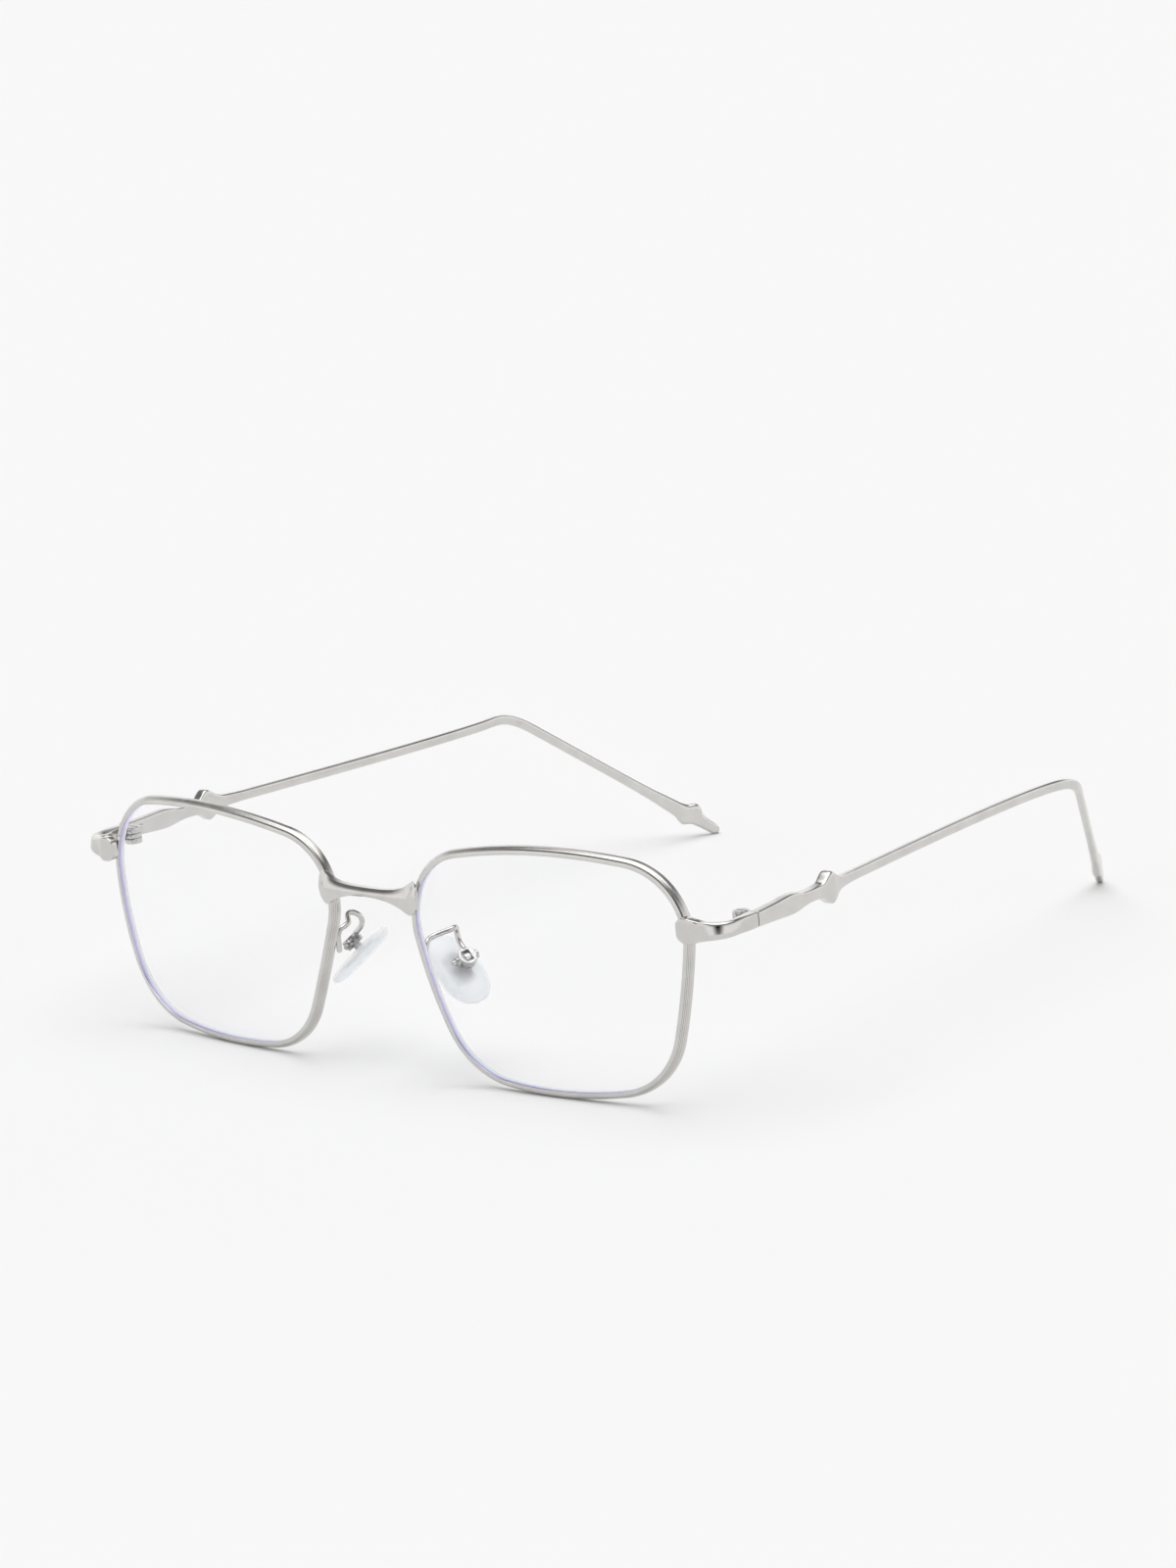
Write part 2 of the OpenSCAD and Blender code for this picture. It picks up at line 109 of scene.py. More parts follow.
def smooth_table(rows, at):
    """Values of a table's columns at positions of its first column, on a monotone cubic."""
    rows = np.array(rows, float)
    x, y = rows[:, 0], rows[:, 1:]
    h = np.diff(x)[:, None]
    slope = np.diff(y, axis=0) / h
    tangent = np.zeros_like(y)
    inner = slope[:-1] * slope[1:] > 0
    before, after = np.where(inner, slope[:-1], 1), np.where(inner, slope[1:], 1)
    mean = 3 * (h[:-1] + h[1:]) / ((2 * h[1:] + h[:-1]) / before + (h[1:] + 2 * h[:-1]) / after)
    tangent[1:-1] = np.where(inner, mean, 0)
    tangent[0], tangent[-1] = slope[0], slope[-1]
    at = np.clip(np.atleast_1d(np.asarray(at, float)), x[0], x[-1])
    k = np.clip(np.searchsorted(x, at, side="right") - 1, 0, len(x) - 2)
    w = x[k + 1] - x[k]
    t = ((at - x[k]) / w)[:, None]
    w = w[:, None]
    return (
        (2 * t**3 - 3 * t**2 + 1) * y[k] + (t**3 - 2 * t**2 + t) * w * tangent[k]
        + (3 * t**2 - 2 * t**3) * y[k + 1] + (t**3 - t**2) * w * tangent[k + 1]
    )


def catmull(points, per_span):
    """Smooth open curve through the points."""
    p = np.array(points, float)
    p = np.concatenate([[2 * p[0] - p[1]], p, [2 * p[-1] - p[-2]]])
    out = []
    for i in range(1, len(p) - 2):
        t = (np.arange(per_span) / per_span)[:, None]
        out.append(0.5 * (2 * p[i] + (p[i + 1] - p[i - 1]) * t
                          + (2 * p[i - 1] - 5 * p[i] + 4 * p[i + 1] - p[i + 2]) * t**2
                          + (3 * p[i] - p[i - 1] - 3 * p[i + 1] + p[i + 2]) * t**3))
    return np.concatenate(out + [p[-2:-1]])


def tangents(path):
    d = np.gradient(path, axis=0)
    return d / np.linalg.norm(d, axis=1)[:, None]


# ---------------------------------------------------------------- meshes
def make_piece(name, points, faces, material, body, nodes, sharp):
    """Mesh object from millimetre points, riding on a body and standing for CAD nodes.

    material is one material or a list, and edges are drawn sharp above an angle of sharp degrees.
    """
    mesh = bpy.data.meshes.new(name)
    mesh.from_pydata([tuple(p * MM) for p in np.asarray(points, float)], [], faces)
    mesh.validate()
    for polygon in mesh.polygons:
        polygon.use_smooth = True
    for m in material if isinstance(material, (list, tuple)) else [material]:
        mesh.materials.append(m)
    piece = bpy.data.objects.new(name, mesh)
    bpy.context.scene.collection.objects.link(piece)
    mesh.set_sharp_from_angle(angle=math.radians(sharp))
    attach(piece, body)
    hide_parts(*nodes)
    return piece


def tube_faces(count, sides, closed, capped=True):
    """Quads between successive rings, and end caps on an open run."""
    faces = []
    for i in range(count if closed else count - 1):
        for k in range(sides):
            a, b = i * sides + k, i * sides + (k + 1) % sides
            c, d = ((i + 1) % count) * sides + (k + 1) % sides, ((i + 1) % count) * sides + k
            faces.append((a, b, c, d))
    if capped and not closed:
        faces.append(tuple(range(sides - 1, -1, -1)))
        faces.append(tuple((count - 1) * sides + k for k in range(sides)))
    return faces


def flip(faces):
    return [tuple(reversed(f)) for f in faces]


def soften(piece, width, angle):
    """Small rounding, width in millimetres, on every edge sharper than the angle in degrees."""
    edge = piece.modifiers.new("edges", "BEVEL")
    edge.width = width * MM
    edge.segments = 2
    edge.limit_method = "ANGLE"
    edge.angle_limit = math.radians(angle)
    edge.use_clamp_overlap = True


def on_side(points, side):
    """Left-hand points, or their mirror image for the wearer's right."""
    return np.asarray(points, float) * ([1, 1, 1] if side == "left" else [-1, 1, 1])


def sided(faces, side):
    return faces if side == "left" else flip(faces)


# ---------------------------------------------------------------- materials
def new_material(name):
    material = bpy.data.materials.new(name)
    material.use_nodes = True
    tree = material.node_tree
    tree.nodes.clear()
    return material, tree


def add(tree, kind, **inputs):
    node = tree.nodes.new(kind)
    for key, value in inputs.items():
        node.inputs[key.replace("_", " ")].default_value = value
    return node


def noise(tree, scale, detail=3.0, stretch=None):
    """Noise texture in object coordinates, with its scale in features a metre."""
    coordinates = tree.nodes.new("ShaderNodeTexCoord")
    texture = add(tree, "ShaderNodeTexNoise", Scale=scale, Detail=detail)
    source = coordinates.outputs["Object"]
    if stretch:
        mapping = tree.nodes.new("ShaderNodeMapping")
        mapping.inputs["Scale"].default_value = stretch
        tree.links.new(source, mapping.inputs["Vector"])
        source = mapping.outputs["Vector"]
    tree.links.new(source, texture.inputs["Vector"])
    return texture.outputs["Fac"]


def ramp(tree, source, *stops):
    """Colour ramp with (position, colour) stops."""
    node = tree.nodes.new("ShaderNodeValToRGB")
    elements = node.color_ramp.elements
    while len(elements) < len(stops):
        elements.new(0.5)
    for element, (position, colour) in zip(elements, stops):
        element.position = position
        element.color = (*colour, 1) if hasattr(colour, "__len__") else (colour, colour, colour, 1)
    tree.links.new(source, node.inputs["Fac"])
    return node.outputs["Color"]


def mix_shaders(tree, share, first, second):
    """Mix of two shaders. The second one's share is a number, or a socket where it varies."""
    mix = tree.nodes.new("ShaderNodeMixShader")
    if isinstance(share, float):
        mix.inputs["Fac"].default_value = share
    else:
        tree.links.new(share, mix.inputs["Fac"])
    tree.links.new(first.outputs["BSDF"], mix.inputs[1])
    tree.links.new(second.outputs["BSDF"], mix.inputs[2])
    return mix.outputs["Shader"]


def set_surface(tree, surface):
    output = tree.nodes.new("ShaderNodeOutputMaterial")
    tree.links.new(surface, output.inputs["Surface"])


# Noise scales of the plate's cloudy tone, its patches of gloss and its polishing grain
CLOUD_SCALE, PATCH_SCALE, GRAIN_SCALE = 260, 900, 5200
# The tone and the roughness vary between these shares of their values
TONE_RANGE, ROUGH_RANGE = (0.93, 1.04), (0.8, 1.35)
# Metres
GRAIN_HEIGHT = 0.00002


def plated_metal(name, tone, rough, grain=(1, 1, 1), relief=0.04):
    """Nickel plate: slight cloudiness in colour and gloss, and a very fine polishing grain."""
    material, tree = new_material(name)
    shader = add(tree, "ShaderNodeBsdfPrincipled", Metallic=1.0)
    low, high = ([min(1, c * share) for c in tone] for share in TONE_RANGE)
    clouds = ramp(tree, noise(tree, CLOUD_SCALE, 4.0), (0.3, low), (0.7, high))
    tree.links.new(clouds, shader.inputs["Base Color"])
    glossy, dull = (rough * share for share in ROUGH_RANGE)
    patches = ramp(tree, noise(tree, PATCH_SCALE, 3.0), (0.3, glossy), (0.75, dull))
    tree.links.new(patches, shader.inputs["Roughness"])
    bump = add(tree, "ShaderNodeBump", Strength=relief, Distance=GRAIN_HEIGHT)
    tree.links.new(noise(tree, GRAIN_SCALE, 2.0, grain), bump.inputs["Height"])
    tree.links.new(bump.outputs["Normal"], shader.inputs["Normal"])
    set_surface(tree, shader.outputs["BSDF"])
    return material


LENS_TINT = [(0.3, (0.86, 0.9, 1.0)), (0.7, (0.93, 0.88, 1.0))]
# Share of gloss from straight on (0) to edge on (1)
LENS_GLOSS = [(0.0, 0.012), (0.6, 0.03), (0.9, 0.25), (1.0, 0.8)]


def clear_lens():
    """Clear coated resin: light passes straight through, under a faint bluish gloss."""
    material, tree = new_material("lens_resin")
    clear = add(tree, "ShaderNodeBsdfTransparent", Color=(1.0, 1.0, 1.0, 1))
    gloss = add(tree, "ShaderNodeBsdfGlossy", Roughness=0.03)
    tree.links.new(ramp(tree, noise(tree, 40, 2.0), *LENS_TINT), gloss.inputs["Color"])
    weight = add(tree, "ShaderNodeLayerWeight", Blend=0.5)
    share = ramp(tree, weight.outputs["Facing"], *LENS_GLOSS)
    set_surface(tree, mix_shaders(tree, share, clear, gloss))
    return material


def sheen_painted_edge(name, inner, outer, clear_share):
    """Ground edge of the lens, coloured with a painted sheen from pale blue to violet that stands in for the
    coating's reflection, where some light passes.
    """
    material, tree = new_material(name)
    shader = add(tree, "ShaderNodeBsdfPrincipled", Roughness=0.35, IOR=1.5)
    tint = ramp(tree, noise(tree, 55, 2.0), (0.35, inner), (0.65, outer))
    tree.links.new(tint, shader.inputs["Base Color"])
    clear = add(tree, "ShaderNodeBsdfTransparent", Color=(1.0, 1.0, 1.0, 1))
    set_surface(tree, mix_shaders(tree, clear_share, shader, clear))
    return material


SILICONE_TINT = [(0.3, (0.92, 0.95, 0.97)), (0.7, (0.97, 0.98, 0.99))]
# Share of the milky surface, from straight on towards edge on
SILICONE_MILK = [(0.0, 0.3), (0.8, 0.65)]


def clear_silicone():
    """Soft clear pad: see-through, a little milky, and whiter at its edges."""
    material, tree = new_material("pad_silicone")
    clear = add(tree, "ShaderNodeBsdfTransparent", Color=(0.97, 0.98, 0.99, 1))
    milk = add(tree, "ShaderNodeBsdfPrincipled", Roughness=0.16, IOR=1.41)
    tree.links.new(ramp(tree, noise(tree, 320, 3.0), *SILICONE_TINT), milk.inputs["Base Color"])
    weight = add(tree, "ShaderNodeLayerWeight", Blend=0.35)
    share = ramp(tree, weight.outputs["Facing"], *SILICONE_MILK)
    set_surface(tree, mix_shaders(tree, share, clear, milk))
    return material


SILVER = (0.62, 0.61, 0.59)
RIM_METAL = plated_metal("rim_plate", SILVER, 0.2)
SMOOTH_METAL = plated_metal("polished_plate", SILVER, 0.13, relief=0.02)
TEMPLE_METAL = plated_metal("temple_plate", (0.64, 0.63, 0.61), 0.17, (1, 0.05, 1))
SMALL_METAL = plated_metal("small_parts_plate", (0.6, 0.59, 0.58), 0.16)
# The pad box's plate is painted darker than the rest: painted shade that dims the overhead highlight on its
# top
BOX_SHADED_METAL = plated_metal("box_plate_painted_shade", (0.48, 0.475, 0.47), 0.24, relief=0.005)
SCREW_METAL = plated_metal("screw_steel", (0.56, 0.56, 0.55), 0.22)
# The pad core is painted very pale: painted light that keeps the pad box's shadow on it from showing through
# the pad
CORE_PALE_METAL = plated_metal("core_steel_painted_light", (0.88, 0.88, 0.88), 0.55)
LENS_CLEAR = clear_lens()
# The lens edges carry a painted reflection: violet at the front and pale blue at the back stand in for the
# coating's sheen
LENS_EDGE_FRONT_SHEEN = sheen_painted_edge("lens_edge_front_painted_sheen", (0.5, 0.42, 0.92), (0.6, 0.52, 0.98), 0.1)
LENS_EDGE_BACK_SHEEN = sheen_painted_edge("lens_edge_back_painted_sheen", (0.9, 0.97, 1.0), (0.96, 0.96, 1.0), 0.06)
SILICONE = clear_silicone()


# ---------------------------------------------------------------- eyewires and lenses
# Spacing of the points round an eyewire and round a lens
RIM_STEP, LENS_STEP = 0.55, 1.1


def eye_surface(inset, depth, step):
    """Ring of the eyewire's outline at an inset and a depth behind the front's sphere, in the frame."""
    return eye_place(arc_outline(EYE_CORNERS, EYE_SIDES, inset, step), depth)


def eye_place(flat, depth):
    """Flat points of the left eye, in the frame at a depth behind the front's sphere."""
    u, v = flat[:, 0], flat[:, 1]
    back = BASE_RADIUS - np.sqrt((BASE_RADIUS - depth) ** 2 - u**2 - v**2)
    x = LENS_SPACING / 2 + u * math.cos(WRAP) - back * math.sin(WRAP)
    y = FRONT_Y + WRAP_SHIFT + u * math.sin(WRAP) + back * math.cos(WRAP)
    return np.stack([x, y, LENS_CENTRE_Z + v], -1)


# The eyewire's outer shoulder is a quarter oval this wide and deep, with fine lengthwise grooves at
# these shares of its sweep
SHOULDER_WIDTH, SHOULDER_DEPTH = 0.78, 1.0
GROOVE_SHARES = (0.26, 0.46, 0.66, 0.84)
GROOVE_HALF_SHARE, GROOVE_CUT = 0.022, 0.055
# The rest of the eyewire's section, inwards from the outer wall and back from the front: the inner
# front corner, the lens groove, the inner rear corner and the outer rear corner
RIM_INSIDE = [
    (RIM_WIDTH - 0.08, 0.01), (RIM_WIDTH - 0.02, 0.05), (RIM_WIDTH, 0.12),
    (RIM_WIDTH, 0.4), (RIM_WIDTH - 0.5, 0.7), (RIM_WIDTH, 1.0),
    (RIM_WIDTH, 1.28), (RIM_WIDTH - 0.06, RIM_DEPTH - 0.03), (RIM_WIDTH - 0.18, RIM_DEPTH),
    (0.3, RIM_DEPTH), (0.1, RIM_DEPTH - 0.05), (0.0, RIM_DEPTH - 0.15),
]
RIM_FRONT_END = (1.0, 0.0)


def shoulder_point(share, cut=0.0):
    """Inset and depth on the shoulder, from its back to the flat front, moved inwards by cut."""
    a = math.radians(90 * (1 - share))
    inset = SHOULDER_WIDTH * (1 - math.sin(a)) + cut * math.sin(a)
    depth = SHOULDER_DEPTH * (1 - math.cos(a)) + cut * math.cos(a)
    return inset, depth


def rim_section():
    """Section of the eyewire, as (inwards from the outer wall, back from the front)."""
    shoulder = [shoulder_point(0.0)]
    for share in GROOVE_SHARES:
        shoulder += [shoulder_point(share - GROOVE_HALF_SHARE), shoulder_point(share, GROOVE_CUT),
                     shoulder_point(share + GROOVE_HALF_SHARE)]
    return RIM_INSIDE + shoulder + [shoulder_point(1.0), RIM_FRONT_END]


def make_rim(side):
    rings = np.stack([eye_surface(inset, depth, RIM_STEP) for inset, depth in rim_section()], 1)
    faces = tube_faces(*rings.shape[:2], closed=True)
    make_piece(f"rim_{side}_wire", on_side(rings.reshape(-1, 3), side), sided(faces, side),
               RIM_METAL, "front", [f"rim_{side}"], sharp=22)


# Depths of the lens's front and back faces behind the eyewire's front
LENS_FRONT, LENS_BACK = 0.16, 1.24
LENS_EDGE_INSET = RIM_WIDTH + 0.003
# The rib in the eyewire's groove, as (inset, depth) of its front foot, its top and its rear foot
LENS_RIB = [(LENS_EDGE_INSET, 0.52), (RIM_WIDTH - 0.46, 0.7), (LENS_EDGE_INSET, 0.98)]
LENS_RINGS = 14
LENS_RING_POWER = 1.5


def lens_face(flat, depth):
    """Rings of one face of the lens, from its edge towards its middle."""
    return [eye_place(flat * (1 - (k / LENS_RINGS) ** LENS_RING_POWER), depth) for k in range(LENS_RINGS)]


def make_lens(side):
    flat = arc_outline(EYE_CORNERS, EYE_SIDES, LENS_EDGE_INSET, LENS_STEP)
    rib = [eye_surface(inset, depth, LENS_STEP) for inset, depth in LENS_RIB]
    rings = lens_face(flat, LENS_FRONT)[::-1] + rib + lens_face(flat, LENS_BACK)
    sides = len(flat)
    faces = tube_faces(len(rings), sides, closed=False, capped=False)
    points = np.concatenate(rings)
    # Both faces close on their middle point
    middle = [eye_place(np.zeros((1, 2)), d)[0] for d in (LENS_FRONT, LENS_BACK)]
    first, last = len(points), len(points) + 1
    points = np.concatenate([points, middle])
    faces += [((k + 1) % sides, k, first) for k in range(sides)]
    base = (len(rings) - 1) * sides
    faces += [(base + k, base + (k + 1) % sides, last) for k in range(sides)]
    materials = [LENS_CLEAR, LENS_EDGE_FRONT_SHEEN, LENS_EDGE_BACK_SHEEN]
    piece = make_piece(f"lens_{side}_shell", on_side(points, side), sided(flip(faces), side), materials,
                       "front", [f"lens_{side}"], sharp=30)
    # The bands after the front face's are the edge: one before the rib, the rib's two and one behind it
    # These edge bands take the painted sheen: violet before the rib, pale blue from the rib back
    edge_bands = [1] + [2] * len(LENS_RIB)
    for polygon in piece.data.polygons:
        band = polygon.index // sides - (LENS_RINGS - 1)
        polygon.material_index = edge_bands[band] if 0 <= band < len(edge_bands) else 0


# ---------------------------------------------------------------- bridge
# Half of the bridge from its middle: x, then the heights of its bottom, belly, crest and top edge, then
# how far its bottom, belly, crest, the face above the crest, its top edge and its back stand forward of
# the fronts' middle. The crest runs level along the bar, then climbs to the tip of the upper prong.
BRIDGE_ROWS = [
    (0.0, 29.5, 29.82, 30.12, 30.95, 1.72, 2.02, 2.12, 1.93, 1.55, 0.3),
    (3.0, 29.35, 29.75, 30.12, 31.0, 1.72, 2.0, 2.12, 1.93, 1.54, 0.3),
    (5.6, 28.8, 29.5, 30.1, 31.2, 1.7, 1.96, 2.1, 1.9, 1.48, 0.3),
    (7.4, 28.1, 29.2, 30.12, 31.6, 1.65, 1.92, 2.07, 1.85, 1.42, 0.3),
    (8.2, 27.62, 29.05, 30.13, 31.98, 1.6, 1.88, 2.02, 1.76, 1.34, 0.3),
    (8.8, 27.32, 28.95, 30.25, 32.35, 1.45, 1.8, 1.93, 1.55, 1.25, 0.3),
    (9.1, 27.32, 29.0, 30.72, 32.55, 1.38, 1.76, 1.83, 1.49, 1.18, 0.5),
    (9.4, 27.45, 29.05, 31.35, 32.74, 1.34, 1.72, 1.6, 1.31, 1.08, 0.68),
    (9.65, 27.65, 29.2, 31.9, 32.85, 1.32, 1.68, 1.33, 1.15, 1.0, 0.74),
    (9.85, 27.85, 29.35, 32.35, 32.82, 1.31, 1.63, 1.08, 1.02, 0.97, 0.76),
    (10.05, 28.2, 29.6, 32.2, 32.6, 1.3, 1.57, 1.1, 1.03, 0.97, 0.78),
    (10.28, 28.8, 29.95, 31.9, 32.2, 1.28, 1.5, 1.14, 1.04, 0.96, 0.8),
    (10.42, 29.4, 30.25, 31.4, 31.7, 1.24, 1.4, 1.16, 1.06, 0.97, 0.82),
    (10.48, 29.8, 30.4, 31.0, 31.3, 1.1, 1.18, 1.1, 1.0, 0.95, 0.84),
]
# Width of its softened edges, and the angle in degrees from which an edge is softened
BRIDGE_ROUNDING, BRIDGE_EDGE_ANGLE = 0.06, 16
# Sections on each side of the middle, and points along a section's two front curves
BRIDGE_STEPS = 90
BELLY_POINTS, FACE_POINTS = 6, 7
# Rounding of the rear: the rise of its top, then its points as (forward of the back, in from the edge)
REAR_CROWN = 0.02
REAR_UPPER = [(0.02, 0.05), (0.0, 0.2)]
REAR_LOWER = [(0.0, 0.25), (0.03, 0.05)]
# The section's last point lies under the bottom edge, this share of the way forward and this much lower
UNDERSIDE_SHARE, UNDERSIDE_DROP = 0.6, 0.01


def curve3(a, b, c, count):
    """Points of the parabola through a, b and c, without the last."""
    t = (np.arange(count) / count)[:, None]
    mid = 2 * np.array(b) - 0.5 * (np.array(a) + np.array(c))
    return (1 - t) ** 2 * np.array(a) + 2 * t * (1 - t) * mid + t * t * np.array(c)


def bridge_section(row):
    """Ring of the bridge at one row of its table."""
    x, low, belly, crest, top, out_low, out_belly, out_crest, out_face, out_top, back = row
    face_height = 0.5 * crest + 0.5 * top
    front = [curve3((out_low, low), (out_belly, belly), (out_crest, crest), BELLY_POINTS),
             curve3((out_crest, crest), (out_face, face_height), (out_top, top), FACE_POINTS)]
    rear = [(out_top, top), (0.5 * (out_top + back), top + REAR_CROWN)]
    rear += [(back + forward, top - drop) for forward, drop in REAR_UPPER]
    rear += [(back + forward, low + rise) for forward, rise in REAR_LOWER]
    under = UNDERSIDE_SHARE * out_low + (1 - UNDERSIDE_SHARE) * back
    rear.append((under, low - UNDERSIDE_DROP))
    flat = np.concatenate(front + [np.array(rear)])
    return np.column_stack([np.full(len(flat), x), FRONT_Y - flat[:, 0], flat[:, 1]])


def make_bridge():
    reach = BRIDGE_ROWS[-1][0]
    xs = reach * np.sin(np.linspace(-1, 1, 2 * BRIDGE_STEPS + 1) * math.pi / 2)
    values = smooth_table(BRIDGE_ROWS, np.abs(xs))
    rings = np.array([bridge_section((x, *v)) for x, v in zip(xs, values)])
    count, sides = rings.shape[:2]
    piece = make_piece("bridge_bar", rings.reshape(-1, 3), flip(tube_faces(count, sides, closed=False)),
                       SMOOTH_METAL, "front", ["bridge"], sharp=18)
    soften(piece, BRIDGE_ROUNDING, BRIDGE_EDGE_ANGLE)


# ---------------------------------------------------------------- endpieces
# Paddle on the eyewire: x, y of its middle behind the fronts, height, half thickness, half height
PADDLE_ROWS = [
    (60.45, 2.85, 29.85, 0.5, 0.8), (60.52, 2.87, 29.85, 0.64, 1.12), (60.8, 2.93, 29.85, 0.79, 1.52),
    (61.25, 2.98, 29.83, 0.84, 1.86), (61.8, 3.0, 29.8, 0.86, 2.05), (62.6, 3.04, 29.74, 0.88, 2.05),
    (63.6, 3.3, 29.7, 0.85, 1.86), (64.5, 3.75, 29.7, 0.83, 1.58),
]
# The bend's centre and radius in plan, then along it: degrees turned, half thickness, half height
END_BEND = (64.4, 7.5)
END_BEND_RADIUS = 3.6
END_TURN = [(28, 0.88, 1.42), (48, 0.92, 1.34), (68, 0.93, 1.29), (90, 0.91, 1.25)]
END_BEND_Z, END_BEND_CLIMB = 29.7, 0.1
# Where the endpiece meets the temple, and the straight up to there: distance before it, half thickness,
# half height
SPLIT_Y, SPLIT_Z = 12.2, 29.8
END_STRAIGHT = [(1.2, 0.9, 1.24), (0.0, 0.89, 1.22)]
END_SIDES = 44
RINGS_PER_STATION = 6
# Width of the softened edges at the ends of the endpieces and temples, and the angle that makes an edge
END_ROUNDING, END_EDGE_ANGLE = 0.09, 70
# Superellipse powers of the section in the bend and elsewhere: the lower one is rounder. The section
# also leans in the bend, which turns its outer face up.
BEND_POWER, END_POWER = 3.6, 8.0
BEND_LEAN = math.radians(11.5)


def superellipse(sides, power):
    """Points of a superellipse with half axes of 1, as two rows of coordinates."""
    angles = 2 * math.pi * np.arange(sides) / sides
    c, s = np.cos(angles), np.sin(angles)
    return np.sign(c) * np.abs(c) ** (2 / power), np.sign(s) * np.abs(s) ** (2 / power)


def endpiece_stations():
    """Sections of the left endpiece: x, y, z, angle turned, half thickness, half height, power."""
    stations = [(x, y + FRONT_Y, z, 0.0, thick, high, END_POWER) for x, y, z, thick, high in PADDLE_ROWS]
    for turn, thick, high in END_TURN:
        a = math.radians(turn)
        x = END_BEND[0] + END_BEND_RADIUS * math.sin(a)
        y = END_BEND[1] - END_BEND_RADIUS * math.cos(a) + FRONT_Y
        stations.append((x, y, END_BEND_Z + END_BEND_CLIMB * turn / 90, a, thick, high, BEND_POWER))
    x = END_BEND[0] + END_BEND_RADIUS
    for before, thick, high in END_STRAIGHT:
        stations.append((x, SPLIT_Y - before + FRONT_Y, SPLIT_Z, math.pi / 2, thick, high, END_POWER))
    return stations


def make_endpiece(side):
    stations = endpiece_stations()
    keys = [(i, *station) for i, station in enumerate(stations)]
    spans = len(stations) - 1
    at = np.linspace(0, spans, RINGS_PER_STATION * spans + 1)
    rings = []
    for x, y, z, turn, thick, high, power in smooth_table(keys, at):
        across, up = superellipse(END_SIDES, power)
        lean = BEND_LEAN * (END_POWER - power) / (END_POWER - BEND_POWER)
        level = np.array([math.sin(turn), -math.cos(turn), 0])
        normal = level * math.cos(lean) + np.array([0, 0, math.sin(lean)])
        upright = np.array([0, 0, math.cos(lean)]) - level * math.sin(lean)
        rings.append(np.array([x, y, z]) + np.outer(across * thick, normal) + np.outer(up * high, upright))
    rings = np.array(rings)
    faces = tube_faces(len(rings), END_SIDES, closed=False)
    piece = make_piece(f"endpiece_{side}_body", on_side(rings.reshape(-1, 3), side), sided(flip(faces), side),
                       SMOOTH_METAL, "front", [f"endpiece_{side}"], sharp=50)
    soften(piece, END_ROUNDING, END_EDGE_ANGLE)


# ---------------------------------------------------------------- temples
# Points of the centre line: it is straight to the knot, bows to the ear bend and is straight to the tip
SPLIT_GAP = 0.05
SPLIT_POINT = np.array([68, SPLIT_Y + SPLIT_GAP, SPLIT_Z])
KNOT_POINT = np.array([67, 31.7, 29.65])
ROD_BOW = np.array([59.9, 90, 28.5])
BEND_CORNER = np.array([62.4, 105.7, 28.2])
BEND_REACH = 5
TIP_POINT = np.array([42.5, 138.2, 0.34])
# Front of the temple: distance from the split, then its reach up, down, outwards and inwards
FRONT_PROFILE = [
    (0, 1.22, 1.22, 0.98, 0.85), (5, 1.42, 1.45, 1, 0.85), (9.2, 1.65, 1.65, 1, 0.85),
    (10.6, 1.5, 1.55, 1, 0.85), (12.6, 1.08, 1.22, 0.95, 0.85), (14.6, 0.98, 1.05, 0.95, 0.85),
    (16.6, 1.12, 1.12, 1.05, 0.85), (17.5, 1.3, 1.35, 1.25, 0.85), (18.2, 1.95, 1.75, 1.4, 0.85),
    (19, 2.62, 2.3, 1.5, 0.85), (19.6, 2.7, 2.65, 1.52, 0.85), (20.4, 2.3, 2.45, 1.38, 0.8),
    (21.6, 1.6, 1.65, 1.1, 0.75), (23, 1.1, 1.15, 0.9, 0.7), (25.5, 0.93, 0.95, 0.72, 0.65),
    (28, 0.87, 0.87, 0.65, 0.65),
]
# Its tail, as distances back from the tip
TAIL_PROFILE = [
    (24, 0.87, 0.87, 0.65, 0.65), (16, 0.95, 1, 0.68, 0.68), (12, 1.15, 1.25, 0.72, 0.72),
    (9.2, 1.3, 1.45, 0.78, 0.78), (7.9, 1.6, 1.9, 0.82, 0.82), (7.1, 2.2, 2.1, 0.85, 0.85),
    (6.3, 2.5, 1.7, 0.85, 0.85), (5.6, 2.3, 1.3, 0.85, 0.85), (4.6, 1.5, 1.1, 0.82, 0.82),
    (3.2, 1.15, 1, 0.8, 0.8), (1.4, 1, 0.92, 0.75, 0.75), (0.6, 0.86, 0.78, 0.62, 0.62),
    (0.2, 0.62, 0.55, 0.46, 0.46), (0, 0.36, 0.32, 0.26, 0.26),
]
TEMPLE_SIDES = 48
# Points of each run of the centre line, the spacing it is then given and the reach of its smoothing
RUN_POINTS = 200
PATH_STEP = 0.35
SMOOTH_REACH = 7
# Squareness of the section: distance from the split and the superellipse's power
SECTION_POWER = [(0, 6.5), (13, 6.5), (20, 5), (26, 4), (60, 3.2), (200, 3.2)]


def bow(a, b, c):
    """Run from a to c, pulled towards b."""
    t = np.linspace(0, 1, RUN_POINTS)[:, None]
    return (1 - t) ** 2 * a + 2 * t * (1 - t) * b + t * t * c


def line(a, b):
    t = np.linspace(0, 1, RUN_POINTS)[:, None]
    return (1 - t) * a + t * b


def smooth_path(path):
    """The path with a moving average, and its two ends held."""
    kernel = np.hanning(2 * SMOOTH_REACH + 1)
    kernel /= kernel.sum()
    before = 2 * path[0] - path[SMOOTH_REACH:0:-1]
    after = 2 * path[-1] - path[-2:-SMOOTH_REACH - 2:-1]
    padded = np.concatenate([before, path, after])
    return np.stack([np.convolve(padded[:, k], kernel, "valid") for k in range(3)], -1)


